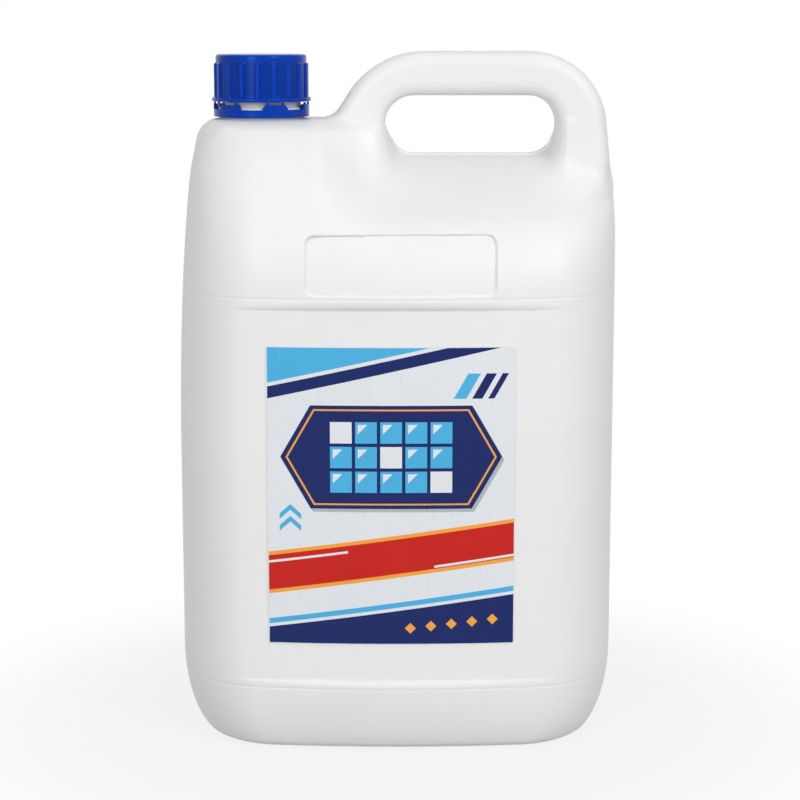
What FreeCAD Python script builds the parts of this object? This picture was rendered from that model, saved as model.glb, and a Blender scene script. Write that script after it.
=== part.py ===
"""Bleach bottle with a moulded handle, a ribbed screw cap and a tamper band.

Millimetres. The origin is on the floor, in the middle of the base. +X runs from the neck
to the handle's outer leg, +Y runs to the back, and +Z runs up.
"""
import FreeCAD, Part
import math
import os

V = FreeCAD.Vector
UP = V(0, 0, 1)

# Overall size of the blow-moulded bottle
body_width = 187.0
body_depth = 126.0
overall_height = 294.0
wall = 1.4

# Plan of the body: corners, and the slight bulge of its faces
corner_radius = 28.0
front_bulge_radius = 365.0
side_bulge_radius = 380.0

# Base: how far the sides tuck in towards the floor, the standing edge and the push-up
tuck_height = 40.0
tuck_side = 14.0
tuck_front = 10.0
tuck_corner_loss = 4.0
tuck_turn = 0.98
foot_width = 11.0
push_up_depth = 4.5
push_up_draft = 7.0

# Shoulder on the neck side: a block with a flat top that carries the neck
shoulder_height = 265.3
shoulder_depth = 50.0
shoulder_curve_start = 195.0
shoulder_edge_radius = 5.0
seam_step = 0.3
lean_start = 128.0
lean_radius = 1250.0

# Scoop under the handle: two ramps that meet in a ridge
ridge_height = 250.4
ridge_width = 2.6
ridge_rib_width = 1.2
ridge_rib_height = 0.8
ramp_angle = 28.0
ramp_round = 34.0
scoop_left_start = -36.0
scoop_left_end = 4.0
scoop_right_start = 63.0
scoop_right_end = 76.0
leg_sink = 3.0
leg_blend = 9.0
ledge_round = 20.0
ledge_start = 236.0

# Handle: a flat loop between the shoulder and its outer leg
handle_depth = 32.0
handle_edge_radius = 8.0
handle_outer_x = 92.6
handle_outer_lean = 6.5
handle_right_radius = 32.0
handle_left_root_x = -27.4
handle_left_angle = 58.0
handle_left_radius = 39.0
hole_left = -4.9
hole_right = 68.5
hole_height = 24.8
hole_end_radius = 12.3
hole_side_angle = 20.0
hole_below_ridge = 18.0

# Label panel on both faces, and the plain plate above it
panel_bottom = 33.0
panel_top = 189.7
panel_half_width = 82.0
panel_recess = 1.75
panel_radius = 490.0
plate_bottom = 195.6
plate_top = 220.5
plate_left = -37.7
plate_right = 41.4
plate_corner_radius = 4.3
plate_recess = 1.1

# Labels
label_width = 103.2
label_height = 126.5
label_bottom = 48.5
label_centre_x = -2.2
label_corner_radius = 2.2
label_thickness = 0.2
label_gap = 0.05

# Neck
neck_x = -58.1
neck_radius = 16.9
neck_bore_radius = 15.2
neck_height = 24.3
collar_radius = 18.25
collar_height = 0.9
bead_radius = 18.4
bead_bottom = 3.6
bead_height = 1.3
lip_round = 0.6

# Thread of neck and cap
thread_pitch = 4.2
thread_turns = 1.5
thread_depth = 1.1
thread_crest_width = 0.8
thread_root_width = 1.7
thread_start = 10.2

# Cap
cap_clearance = 0.3
cap_wall = 1.15
cap_top_thickness = 1.6
cap_top_edge_radius = 1.2
cap_foot = 7.5
cap_flange_radius = 21.25
cap_flange_height = 1.6
rib_count = 18
rib_width = 1.75
rib_rise = 0.72
rib_top_gap = 3.5
rib_phase = -91.5
liner_thickness = 1.1
liner_clearance = 0.3

# Tamper band
band_radius = 20.5
band_bottom = 1.1
band_height = 5.2
band_clearance = 0.35
band_lip = 0.65
band_lip_height = 0.9
window_count = 6
window_angle = 28.0
window_flare_angle = 35.0
window_sill = 3.1
window_shoulder = 3.9
window_phase = -99.4
bridge_width = 0.9
bridge_depth = 0.9
bridge_gap = 0.3

# How finely the body's sections are laid out
corner_steps = 6
shoulder_sections = 13
front_steps_left = (-50.0, -43.0, -36.0, -29.0, -22.0, -15.0, -8.0, -1.0, 6.0)
front_steps_mid = (17.0, 31.0, 45.0)
front_steps_right = 5


def smooth(t):
    """0 below 0, 1 above 1, and an even S between."""
    t = min(1.0, max(0.0, t))
    return t * t * (3.0 - 2.0 * t)


def soft_max(a, b, reach):
    """The larger of two values, with a rounded change-over."""
    return 0.5 * (a + b + math.sqrt((a - b) ** 2 + reach ** 2))


# Side profiles of the body. Each takes a height and how far the form is inset from the outside.

def tuck(z):
    """1 at the floor and 0 from the tuck height up."""
    u = tuck_turn * max(0.0, 1.0 - z / tuck_height)
    full = 1.0 - math.sqrt(1.0 - tuck_turn ** 2)
    return (1.0 - math.sqrt(1.0 - u * u)) / full


def ramp_half_depth(z, inset):
    """Half depth under the handle: upright, a round shoulder, then the straight ramp."""
    angle = math.radians(ramp_angle)
    half = body_depth / 2.0 - inset
    ridge = ridge_height - inset / math.cos(angle)
    radius = ramp_round - inset
    corner = ridge - math.tan(angle) * half
    reach = radius * math.tan((math.pi / 2.0 - angle) / 2.0)
    start = corner - reach
    if z <= start:
        return half
    if z < corner + reach * math.sin(angle):
        return half - radius + math.sqrt(radius ** 2 - (z - start) ** 2)
    return (ridge - z) / math.tan(angle)


def shoulder_half_depth(z, inset):
    """Half depth on the neck side: upright, then one long arc to the flat top."""
    half = body_depth / 2.0
    rise = shoulder_height - shoulder_curve_start
    fall = half - shoulder_depth / 2.0
    radius = (rise ** 2 + fall ** 2) / (2.0 * fall)
    if z <= shoulder_curve_start:
        return half - inset
    return half - radius + math.sqrt((radius - inset) ** 2 - (z - shoulder_curve_start) ** 2)


def half_depth(x, z, inset):
    """Half depth of the body at one place, before the bulge of its faces."""
    ramp = ramp_half_depth(z, inset)
    block = shoulder_half_depth(z, inset)
    leg = soft_max(ramp, handle_depth / 2.0 - leg_sink - inset, leg_blend)
    left = smooth((x - scoop_left_start) / (scoop_left_end - scoop_left_start))
    right = smooth((x - scoop_right_start) / (scoop_right_end - scoop_right_start))
    depth = block + (ramp - block) * left
    depth += (leg - ramp) * right * smooth((z - shoulder_curve_start) / 30.0)
    return depth - tuck_front * tuck(z - inset)


def left_reach(z, inset):
    """How far the body reaches to the left of the origin."""
    reach = body_width / 2.0 - inset
    if z > lean_start:
        reach = body_width / 2.0 - lean_radius
        reach += math.sqrt((lean_radius - inset) ** 2 - (z - lean_start) ** 2)
    return reach - tuck_side * tuck(z - inset)


def right_reach(z, inset):
    """How far the body reaches to the right, with the ledge under the handle's leg."""
    reach = body_width / 2.0 - inset
    if z > ledge_start:
        radius = ledge_round - inset
        over = min(z - ledge_start, 0.97 * radius)
        reach += math.sqrt(radius ** 2 - over ** 2) - radius
    return reach - tuck_side * tuck(z - inset)


def corner(reach, depth_at, z, inset, side):
    """Points of one front corner, from its face to its side, and where the face ends."""
    share = depth_at(0.8 * side * reach)
    radius = min(corner_radius - inset - tuck_corner_loss * tuck(z - inset), 0.82 * share)
    x = reach - radius
    for step in range(3):
        slope = (depth_at(side * (x - 0.5)) - depth_at(side * (x + 0.5)))
        face = math.atan(slope)
        y = depth_at(side * x) - radius / math.cos(face)
        flank = math.atan(max(y, 0.0) / side_bulge_radius)
        x = reach - max(y, 0.0) ** 2 / (2.0 * side_bulge_radius) - radius / math.cos(flank)
    points = []
    for step in range(corner_steps + 1):
        turn = face + (math.pi / 2.0 - flank - face) * step / corner_steps
        points.append((side * (x + radius * math.sin(turn)), y + radius * math.cos(turn)))
    return points


def face_depth(z, inset):
    """The half depth of the front face at this height, as a function of x, with its bulge."""
    half = body_depth / 2.0

    def depth_at(x):
        depth = half_depth(x, z, inset)
        share = max(0.0, min(1.0, depth / half)) ** 2
        return depth - share * x * x / (2.0 * front_bulge_radius)
    return depth_at


def side_points(reach, corner_y, side):
    """Two points between a corner and the parting plane, on the bulging side."""
    points = []
    for share in (0.66, 0.33):
        y = corner_y * share
        points.append((side * (reach - y * y / (2.0 * side_bulge_radius)), y))
    return points


def front_half(z, inset):
    """Half of a section, from the left side's middle along the front to the right's."""
    depth_at = face_depth(z, inset)
    left = corner(left_reach(z, inset), depth_at, z, inset, -1.0)
    right = corner(right_reach(z, inset), depth_at, z, inset, 1.0)
    points = [(-left_reach(z, inset), 0.0)]
    points += reversed(side_points(left_reach(z, inset), left[-1][1], -1.0))
    points += reversed(left)
    points += [(x, depth_at(x)) for x in front_steps_left + front_steps_mid]
    start = front_steps_mid[-1]
    for step in range(1, front_steps_right):
        x = start + (right[0][0] - start) * step / front_steps_right
        points.append((x, depth_at(x)))
    points += right
    points += side_points(right_reach(z, inset), right[-1][1], 1.0)
    points.append((right_reach(z, inset), 0.0))
    return points


def closed_wire(half, z, parameters):
    """A closed smooth curve through a half section and its mirror image."""
    loop = [V(x, -y, z) for x, y in half]
    loop += [V(x, y, z) for x, y in reversed(half[1:-1])]
    curve = Part.BSplineCurve()
    curve.interpolate(Points=loop, PeriodicFlag=True, Parameters=parameters)
    return Part.Wire([curve.toShape()])


def spacing(half):
    """Knot values for a section, so that all sections share one spacing."""
    loop = list(half) + [(x, -y) for x, y in reversed(half[1:-1])] + [half[0]]
    values = [0.0]
    for a, b in zip(loop, loop[1:]):
        values.append(values[-1] + math.hypot(b[0] - a[0], b[1] - a[1]) ** 0.5)
    return [value / values[-1] for value in values]


def body_heights(inset):
    """Heights of the body's sections: close where the form turns, wide where it is straight."""
    low = [inset + tuck_height * share
           for share in (0.0, 0.02, 0.06, 0.13, 0.24, 0.4, 0.65, 1.0)]
    slope = math.radians(ramp_angle)
    top = ridge_height - inset / math.cos(slope) - 0.5 * ridge_width * math.tan(slope)
    knee = shoulder_curve_start
    middle = [low[-1] + (knee - low[-1]) * share for share in (0.25, 0.5, 0.75, 0.92)]
    high = [knee + (top - knee) * step / shoulder_sections for step in range(shoulder_sections + 1)]
    return low + middle + high


def trunk(inset):
    """The body from the floor to the ridge under the handle."""
    heights = body_heights(inset)
    parameters = spacing(front_half(tuck_height * 2.0, inset))
    wires = [closed_wire(front_half(z, inset), z, parameters) for z in heights]
    return Part.makeLoft(wires, True, False)


def block_half(z, inset):
    """Half of the neck block's section above the ridge, ending inside the handle."""
    depth_at = face_depth(z, inset)
    left = corner(left_reach(z, inset), depth_at, z, inset, -1.0)
    points = [(-left_reach(z, inset), 0.0)]
    points += reversed(side_points(left_reach(z, inset), left[-1][1], -1.0))
    points += reversed(left)
    deep = handle_depth / 2.0 - 5.0 - inset
    low, high = scoop_left_start, scoop_left_end
    for step in range(40):
        middle = 0.5 * (low + high)
        if depth_at(middle) > deep:
            low = middle
        else:
            high = middle
    start = points[-1][0]
    for step in range(1, 13):
        x = start + (low - start) * step / 12.0
        points.append((x, depth_at(x)))
    return points


def neck_block(inset):
    """The upper part of the neck side, from the ridge's height to its flat top."""
    low = body_heights(inset)[-1]
    top = shoulder_height - inset
    heights = [low + (top - low) * share / 4.0 for share in range(5)]
    wires = []
    for z in heights:
        shrink = seam_step if z == low else 0.0
        half = block_half(z, inset + shrink)
        loop = [V(x, -y, z) for x, y in half]
        loop += [V(x, y, z) for x, y in reversed(half[1:])]
        loop.append(loop[0])
        steps = [0.0]
        for a, b in zip(loop, loop[1:]):
            steps.append(steps[-1] + 1.0)
        curve = Part.BSplineCurve()
        curve.interpolate(Points=loop[:-1], PeriodicFlag=True,
                          Parameters=[step / steps[-1] for step in steps])
        wires.append(Part.Wire([curve.toShape()]))
    block = Part.makeLoft(wires, True, False)
    rim = [edge for edge in block.Edges if abs(edge.BoundBox.ZMin - top) < 1e-3]
    return block.makeFillet(shoulder_edge_radius - 0.5 * inset, rim)


def rounded_polygon(corners, radii):
    """A closed wire in the XZ plane through corners, each rounded by its own radius."""
    points = [V(x, 0, z) for x, z in corners]
    edges = []
    ends = []
    count = len(points)
    for i in range(count):
        here = points[i]
        back = (points[i - 1] - here).normalize()
        ahead = (points[(i + 1) % count] - here).normalize()
        if radii[i] == 0.0:
            ends.append((here, here, here))
            continue
        half = back.getAngle(ahead) / 2.0
        reach = radii[i] / math.tan(half)
        middle = here + (back + ahead).normalize() * (radii[i] / math.sin(half) - radii[i])
        ends.append((here + back * reach, middle, here + ahead * reach))
    for i in range(count):
        start, middle, end = ends[i]
        if start != end:
            edges.append(Part.Arc(start, middle, end).toShape())
        following = ends[(i + 1) % count][0]
        if end.distanceToPoint(following) > 1e-6:
            edges.append(Part.LineSegment(end, following).toShape())
    return Part.Wire(edges)


def handle_outline(inset):
    """Outside of the handle loop; its lower end is buried in the body."""
    low = ridge_height - hole_below_ridge - 6.0
    top = overall_height - inset
    angle = math.radians(handle_left_angle)
    root = handle_left_root_x + inset / math.sin(angle)
    left_low = root - (shoulder_height - low) / math.tan(angle)
    left_top = root + (top - shoulder_height) / math.tan(angle)
    lean = math.atan(handle_outer_lean / (overall_height - low))
    right_low = handle_outer_x - inset / math.cos(lean)
    right_top = right_low - (top - low) * math.tan(lean)
    corners = [(left_low, low), (left_top, top), (right_top, top), (right_low, low)]
    radii = [0.0, handle_left_radius - inset, handle_right_radius - inset, 0.0]
    return rounded_polygon(corners, radii)


def handle_hole(inset):
    """The gap for the hand: round at its upper ends, narrowing down to where the ramps close it."""
    low = ridge_height - hole_below_ridge
    top = ridge_height + hole_height + inset
    left = hole_left - inset
    right = hole_right + inset
    radius = hole_end_radius + inset
    lean = math.radians(hole_side_angle)
    tangent_drop = radius * (1.0 + math.sin(lean))
    tangent_in = radius * (1.0 - math.cos(lean))
    in_top = tangent_in - tangent_drop * math.tan(lean)
    in_low = tangent_in + (top - tangent_drop - low) * math.tan(lean)
    corners = [(left + in_low, low), (left + in_top, top),
               (right - in_top, top), (right - in_low, low)]
    return rounded_polygon(corners, [0.0, radius, radius, 0.0])


def handle(inset):
    """The handle as a solid loop with rounded edges."""
    half = handle_depth / 2.0 - inset
    loop = Part.Face(handle_outline(inset)).extrude(V(0, 2.0 * half, 0))
    loop = loop.cut(Part.Face(handle_hole(inset)).extrude(V(0, 2.0 * half, 0)))
    loop.translate(V(0, -half, 0))
    loop = loop.Solids[0]
    low = ridge_height - hole_below_ridge + 1.0
    rims = [edge for edge in loop.Edges
            if abs(abs(edge.BoundBox.YMin) - half) < 1e-3
            and edge.BoundBox.YLength < 1e-3
            and edge.BoundBox.ZMax > low]
    return loop.makeFillet(handle_edge_radius - inset, rims)


def ring_segment(depth, radius, bottom, top, half_width, side):
    """What lies outside a wide upright cylinder, in front of the front or the back face."""
    block = Part.makeBox(2.0 * half_width, body_depth, top - bottom,
                         V(-half_width, 0.0 if side > 0 else -body_depth, bottom))
    core = Part.makeCylinder(radius, top - bottom + 2.0,
                             V(0, side * (depth - radius), bottom - 1.0))
    return block.cut(core)


def label_panels(grow):
    """The shallow panels of the front and back, as what they take away."""
    depth = body_depth / 2.0 - panel_recess - grow
    return [ring_segment(depth, panel_radius - grow, panel_bottom - grow, panel_top + grow,
                         panel_half_width, side) for side in (-1.0, 1.0)]


def plate_recess_cut(grow):
    """The shallow plain plate on the front shoulder, as what it takes away."""
    corners = [(plate_left - grow, plate_bottom - grow), (plate_right + grow, plate_bottom - grow),
               (plate_right + grow, plate_top + grow), (plate_left - grow, plate_top + grow)]
    outline = rounded_polygon(corners, [plate_corner_radius + grow] * 4)
    prism = Part.Face(outline).extrude(V(0, -body_depth, 0))
    return trunk(grow).common(prism).cut(trunk(grow + plate_recess))


def push_up(grow):
    """The hollow under the base that leaves a standing rim."""
    wires = []
    for share, z in ((0.0, -1.0), (0.3, 0.4 * push_up_depth), (1.0, push_up_depth + grow)):
        plan = foot_width + push_up_draft * share - grow
        half = front_half(plan, plan)
        wires.append(closed_wire(half, z, spacing(half)))
    return Part.makeLoft(wires, True, False)


def form(inset):
    """The whole outer form of the bottle below the neck, inset by a distance."""
    body = trunk(inset)
    body = body.Solids[0].fuse(neck_block(inset).Solids[0])
    body = body.fuse(handle(inset).Solids[0])
    for hollow in label_panels(inset) + [plate_recess_cut(inset), push_up(inset)]:
        body = body.cut(hollow)
    return body


def disc(radius, bottom, height):
    """An upright cylinder on the neck's axis."""
    return Part.makeCylinder(radius, height, V(neck_x, 0, bottom))


def thread(root, crest, bottom, inward):
    """A helical ridge on the neck's axis, with its root sunk a little into its wall."""
    sunk = root + (0.3 if inward else -0.3)
    height = thread_pitch * thread_turns
    helix = Part.makeHelix(thread_pitch, height, root)
    outline = Part.makePolygon([V(sunk, 0, -thread_root_width / 2.0),
                                V(crest, 0, -thread_crest_width / 2.0),
                                V(crest, 0, thread_crest_width / 2.0),
                                V(sunk, 0, thread_root_width / 2.0),
                                V(sunk, 0, -thread_root_width / 2.0)])
    ridge = Part.Wire(helix.Edges).makePipeShell([outline], True, True)
    ridge.translate(V(neck_x, 0, bottom))
    return ridge


lip_height = shoulder_height + neck_height
cap_bore = neck_radius + thread_depth + cap_clearance
cap_skirt_radius = cap_bore + cap_wall
liner_bottom = lip_height + liner_clearance
cap_ceiling = liner_bottom + liner_thickness
cap_top = cap_ceiling + cap_top_thickness
cap_bottom = shoulder_height + cap_foot
band_base = shoulder_height + band_bottom
band_top = band_base + band_height


def neck():
    """The threaded finish, with the collar on the shoulder and the bead under the band."""
    tube = disc(neck_radius, shoulder_height - 2.0, neck_height + 2.0)
    rims = [edge for edge in tube.Edges if abs(edge.BoundBox.ZMin - lip_height) < 1e-3]
    tube = tube.makeFillet(lip_round, rims)
    collar = disc(collar_radius, shoulder_height - 1.0, collar_height + 1.0)
    bead = disc(bead_radius, shoulder_height + bead_bottom, bead_height)
    bead = bead.makeChamfer(0.4, [edge for edge in bead.Edges if len(edge.Vertexes) == 1])
    ridge = thread(neck_radius, neck_radius + thread_depth, shoulder_height + thread_start, False)
    return tube.fuse([collar, bead, ridge])


def bottle():
    """The blow-moulded shell: body, hollow handle and neck in one piece."""
    shell = form(0.0).Solids[0].cut(form(wall).Solids[0])
    shell = shell.fuse(neck())
    shell = shell.cut(disc(neck_bore_radius, shoulder_height - 3.0 * wall,
                           neck_height + 4.0 * wall))
    rib = Part.makeBox(scoop_right_start - scoop_left_end, ridge_rib_width, 4.0,
                       V(scoop_left_end, -ridge_rib_width / 2.0,
                         ridge_height + ridge_rib_height - 4.0))
    return shell.fuse(rib)


def cap():
    """The screw cap: ribbed skirt, smooth top band, flange and inner thread."""
    skirt = disc(cap_skirt_radius, cap_bottom, cap_top - cap_bottom)
    rims = [edge for edge in skirt.Edges if abs(edge.BoundBox.ZMin - cap_top) < 1e-3]
    skirt = skirt.makeFillet(cap_top_edge_radius, rims)
    flange = disc(cap_flange_radius, cap_bottom, cap_flange_height)
    flange = flange.makeFillet(0.35, [edge for edge in flange.Edges if len(edge.Vertexes) == 1])
    rib_bottom = cap_bottom + cap_flange_height - 0.3
    rib_height = cap_top - rib_top_gap - rib_bottom
    rib = Part.makeBox(cap_wall + rib_rise, rib_width, rib_height,
                       V(neck_x + cap_skirt_radius - cap_wall, -rib_width / 2.0, rib_bottom))
    outer_edges = [edge for edge in rib.Edges
                   if edge.BoundBox.XMin > neck_x + cap_skirt_radius and edge.BoundBox.ZLength > 1]
    rib = rib.makeFillet(0.4 * rib_rise, outer_edges)
    ribs = []
    for step in range(rib_count):
        copy = rib.copy()
        copy.rotate(V(neck_x, 0, 0), UP, rib_phase + 360.0 * step / rib_count)
        ribs.append(copy)
    bore = disc(cap_bore, cap_bottom - 1.0, cap_ceiling - cap_bottom + 1.0)
    ridge = thread(cap_bore, neck_radius + cap_clearance,
                   shoulder_height + thread_start + thread_pitch / 2.0, True)
    return skirt.fuse([flange] + ribs).cut(bore).fuse(ridge)


def cap_liner():
    """The soft sealing disc under the cap's top."""
    return disc(cap_bore - 0.1, liner_bottom, liner_thickness)


def window(angle_low, angle_high, bottom, top):
    """A wedge that opens one window of the band, wider at its top."""
    far = band_radius * 1.4
    wires = []
    for angle, z in ((angle_low, bottom), (angle_high, top)):
        half = far * math.tan(math.radians(angle / 2.0))
        wires.append(Part.makePolygon([V(0, 0, z), V(far, -half, z), V(far, half, z), V(0, 0, z)]))
    return Part.makeLoft(wires, True, True)


def tamper_band():
    """The ring that stays on the neck, with its windows and the stubs of its bridges."""
    inner = bead_radius + band_clearance
    ring = disc(band_radius, band_base, band_height).cut(disc(inner, band_base, band_height))
    lip_radius = inner - band_lip
    lip = disc(inner + 0.2, band_base, band_lip_height).cut(
        disc(lip_radius, band_base, band_lip_height))
    ring = ring.fuse(lip)
    sill = band_base + window_sill
    shoulder = band_base + window_shoulder
    wedge = window(window_angle, window_angle, sill, shoulder)
    flare = window(window_angle, window_flare_angle, shoulder, band_top + 0.01)
    cuts = []
    bridges = []
    stub_height = cap_bottom - bridge_gap - band_top + 0.5
    for step in range(window_count):
        turn = window_phase + 360.0 * step / window_count
        for piece in (wedge, flare):
            copy = piece.copy()
            copy.translate(V(neck_x, 0, 0))
            copy.rotate(V(neck_x, 0, 0), UP, turn)
            cuts.append(copy)
        for side in (-1.0, 1.0):
            stub = Part.makeBox(bridge_depth, bridge_width, stub_height,
                                V(neck_x + band_radius - 0.1 - bridge_depth,
                                  -bridge_width / 2.0, band_top - 0.5))
            edge_angle = window_flare_angle / 2.0 + math.degrees(bridge_width / band_radius)
            stub.rotate(V(neck_x, 0, 0), UP, turn + side * edge_angle)
            bridges.append(stub)
    return ring.cut(cuts).fuse(bridges)


def label_sheet(outline, inner, thickness, side):
    """A sheet of an outline that lies on a panel, starting a given distance off it."""
    depth = body_depth / 2.0 - panel_recess
    centre = side * (depth - panel_radius)
    box = outline.BoundBox
    outer_cylinder = Part.makeCylinder(panel_radius + inner + thickness, box.ZLength + 2.0,
                                       V(0, centre, box.ZMin - 1.0))
    inner_cylinder = Part.makeCylinder(panel_radius + inner, box.ZLength + 2.0,
                                       V(0, centre, box.ZMin - 1.0))
    prism = Part.Face(outline).extrude(V(0, side * body_depth, 0))
    return prism.common(outer_cylinder).cut(inner_cylinder)


def label_outline():
    """The label's rounded rectangle."""
    left = label_centre_x - label_width / 2.0
    right = label_centre_x + label_width / 2.0
    high = label_bottom + label_height
    corners = [(left, label_bottom), (right, label_bottom), (right, high), (left, high)]
    return rounded_polygon(corners, [label_corner_radius] * 4)


def label(side):
    """A film label on the front (-1) or the back (1)."""
    return label_sheet(label_outline(), label_gap, label_thickness, side)


def main():
    os.makedirs("parts", exist_ok=True)
    pieces = {
        "bottle": bottle(),
        "cap": cap(),
        "cap_liner": cap_liner(),
        "tamper_band": tamper_band(),
        "front_label": label(-1.0),
        "back_label": label(1.0),
    }
    for name, shape in pieces.items():
        print(name, shape.isValid(), len(shape.Solids), len(shape.Faces), round(shape.Volume, 1))
        shape.exportStep("parts/" + name + ".step")


main()
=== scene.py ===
"""Bleach bottle: moulded body, screw cap, tamper band, labels and stage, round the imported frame.

Metres throughout. +X runs from the neck to the handle's outer leg, +Y to the back, +Z up.
"""

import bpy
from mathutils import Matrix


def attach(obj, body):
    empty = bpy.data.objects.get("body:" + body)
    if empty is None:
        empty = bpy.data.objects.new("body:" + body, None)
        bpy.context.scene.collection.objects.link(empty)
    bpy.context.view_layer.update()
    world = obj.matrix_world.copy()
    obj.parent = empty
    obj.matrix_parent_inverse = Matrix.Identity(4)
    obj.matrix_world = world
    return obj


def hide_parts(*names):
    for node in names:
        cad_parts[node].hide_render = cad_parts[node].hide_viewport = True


bl_info = {
    "name": "Bleach bottle",
    "version": (1, 0, 0),
    "blender": (4, 5, 0),
    "location": "3D View > Sidebar > Bottle",
    "description": "Builds a moulded five litre bottle with a screw cap and printed labels",
    "category": "Object",
}

import math

import bmesh
import bpy
import numpy as np
from mathutils import Vector

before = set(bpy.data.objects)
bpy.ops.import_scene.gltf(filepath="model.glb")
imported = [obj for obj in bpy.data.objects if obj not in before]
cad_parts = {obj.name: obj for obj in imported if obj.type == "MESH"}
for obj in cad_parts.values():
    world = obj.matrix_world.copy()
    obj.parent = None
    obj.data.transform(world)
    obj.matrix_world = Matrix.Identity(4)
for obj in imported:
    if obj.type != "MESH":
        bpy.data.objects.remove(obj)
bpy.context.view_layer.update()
MM = 0.001


# Sizes and colours that a user would change

def length(name, text, value, low=0.0):
    """A length property in metres; the value is given in millimetres."""
    return bpy.props.FloatProperty(name=name, description=text, default=value * MM, min=low,
                                   unit="LENGTH", precision=5)


def colour(name, text, value):
    """A colour property in linear red, green and blue."""
    return bpy.props.FloatVectorProperty(name=name, description=text, default=value, size=3,
                                         subtype="COLOR", min=0.0, max=1.0)


class BottleSizes(bpy.types.PropertyGroup):
    width: length("Width", "Overall width of the body", 187.0)
    depth: length("Depth", "Overall depth of the body", 126.0)
    height: length("Height", "Height to the top of the handle", 294.0)
    wall: length("Wall", "Thickness of the moulded wall", 1.4)
    corner: length("Corner radius", "Radius of the upright corners", 28.0)
    front_bulge: length("Front bulge radius", "Radius of the bulge of front and back", 365.0)
    side_bulge: length("Side bulge radius", "Radius of the bulge of the sides", 380.0)
    tuck_height: length("Tuck height", "Height over which the base tucks in", 40.0)
    tuck_side: length("Side tuck", "How far the sides tuck in at the floor", 14.0)
    tuck_front: length("Front tuck", "How far front and back tuck in at the floor", 10.0)
    shoulder: length("Shoulder height", "Height of the flat top that carries the neck", 265.3)
    shoulder_depth: length("Shoulder depth", "Depth of that flat top", 50.0)
    shoulder_start: length("Shoulder start", "Height where the shoulder's curve starts", 195.0)
    shoulder_edge: length("Shoulder edge", "Radius of the flat top's edge", 4.0)
    shoulder_end: length("Shoulder end", "Radius of that edge at the neck side", 8.6)
    shoulder_tuck: length("Shoulder tuck", "How far the neck side tucks in at its top", 0.9)
    lean_start: length("Lean start", "Height where the neck side starts to lean in", 128.0)
    lean_radius: length("Lean radius", "Radius of the neck side's lean", 1250.0)
    ridge: length("Ridge height", "Height of the ridge under the hand gap", 250.4)
    ramp_angle: bpy.props.FloatProperty(name="Ramp angle", description="Slope of the two ramps",
                                        default=math.radians(28.0), subtype="ANGLE")
    ramp_round: length("Ramp radius", "Radius between the ramps and the faces", 34.0)
    scoop_left: length("Scoop left", "Where the neck block starts to fall away", -36.0, -1.0)
    scoop_left_end: length("Scoop left end", "Where the ramps start", 4.0, -1.0)
    scoop_right: length("Scoop right", "Where the ramps end", 66.0)
    scoop_right_end: length("Scoop right end", "Where the handle's leg starts", 79.0)
    ledge_start: length("Ledge start", "Height of the ledge beside the handle's leg", 236.0)
    ledge_round: length("Ledge radius", "Radius of that ledge", 20.0)
    handle_depth: length("Handle depth", "Depth of the handle", 32.0)
    handle_edge: length("Handle edge", "Radius of the handle's edges", 6.2)
    handle_outer: length("Handle outer", "Where the handle's outer leg meets the body", 93.3)
    handle_lean: length("Handle lean", "How far the outer leg leans in", 6.9)
    handle_right_round: length("Handle right radius", "Radius of the outer top corner", 32.6)
    handle_root: length("Handle root", "Where the inner leg leaves the flat top", -27.4, -1.0)
    handle_angle: bpy.props.FloatProperty(name="Inner leg angle", description="Its slope",
                                          default=math.radians(58.0), subtype="ANGLE")
    handle_left_round: length("Handle left radius", "Radius of the inner top corner", 39.0)
    gap_left: length("Gap left", "Left end of the hand gap", -4.9, -1.0)
    gap_right: length("Gap right", "Right end of the hand gap", 68.5)
    gap_height: length("Gap height", "Height of the hand gap", 24.8)
    gap_round: length("Gap radius", "Radius of the gap's ends", 12.3)
    handle_blend: length("Handle blend", "Softness where the handle meets the body", 5.5)
    gap_blend: length("Gap blend", "Softness of the hand gap's lower corners", 12.0)
    root_blend: length("Root blend", "Softness of the cheeks at the inner leg's root", 19.0)
    panel_bottom: length("Panel bottom", "Lower ledge of the label panel", 33.0)
    panel_top: length("Panel top", "Upper ledge of the label panel", 189.7)
    panel_recess: length("Panel recess", "Depth of the label panel", 1.75)
    panel_slope: bpy.props.FloatProperty(name="Ledge slope", description="Rise of a ledge over "
                                         "its depth", default=1.1)
    panel_radius: length("Panel radius", "Radius of the label panel's bulge", 490.0)
    plate_left: length("Plate left", "Left edge of the plain plate", -37.7, -1.0)
    plate_right: length("Plate right", "Right edge of the plain plate", 41.4)
    plate_bottom: length("Plate bottom", "Lower edge of the plain plate", 195.6)
    plate_top: length("Plate top", "Upper edge of the plain plate", 220.5)
    plate_corner: length("Plate corner", "Corner radius of the plain plate", 4.3)
    plate_recess: length("Plate recess", "Depth of the plain plate", 1.5)
    seam_height: length("Seam height", "Height of the mould's parting line", 0.16)
    pinch_height: length("Pinch height", "Height of the parting line round the hand gap", 0.7)
    foot_width: length("Foot width", "Width of the rim that the bottle stands on", 11.0)
    push_up: length("Push-up", "Height of the hollow under the base", 4.5)
    grid: length("Mesh step", "Spacing of the mesh on plain surfaces", 2.1)


class NeckSizes(bpy.types.PropertyGroup):
    axis: length("Neck axis", "Place of the neck along X", -58.1, -1.0)
    radius: length("Neck radius", "Outside of the neck at its thread's root", 16.9)
    bore: length("Neck bore", "Inside of the neck", 15.2)
    height: length("Neck height", "From the flat top to the lip", 24.3)
    pitch: length("Pitch", "Rise of the thread in one turn", 4.2)
    turns: bpy.props.FloatProperty(name="Turns", description="Length of the thread", default=1.5)
    thread: length("Thread depth", "How far the thread stands out", 1.1)
    thread_start: length("Thread start", "Height of the thread's lower end on the neck", 10.2)


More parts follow.
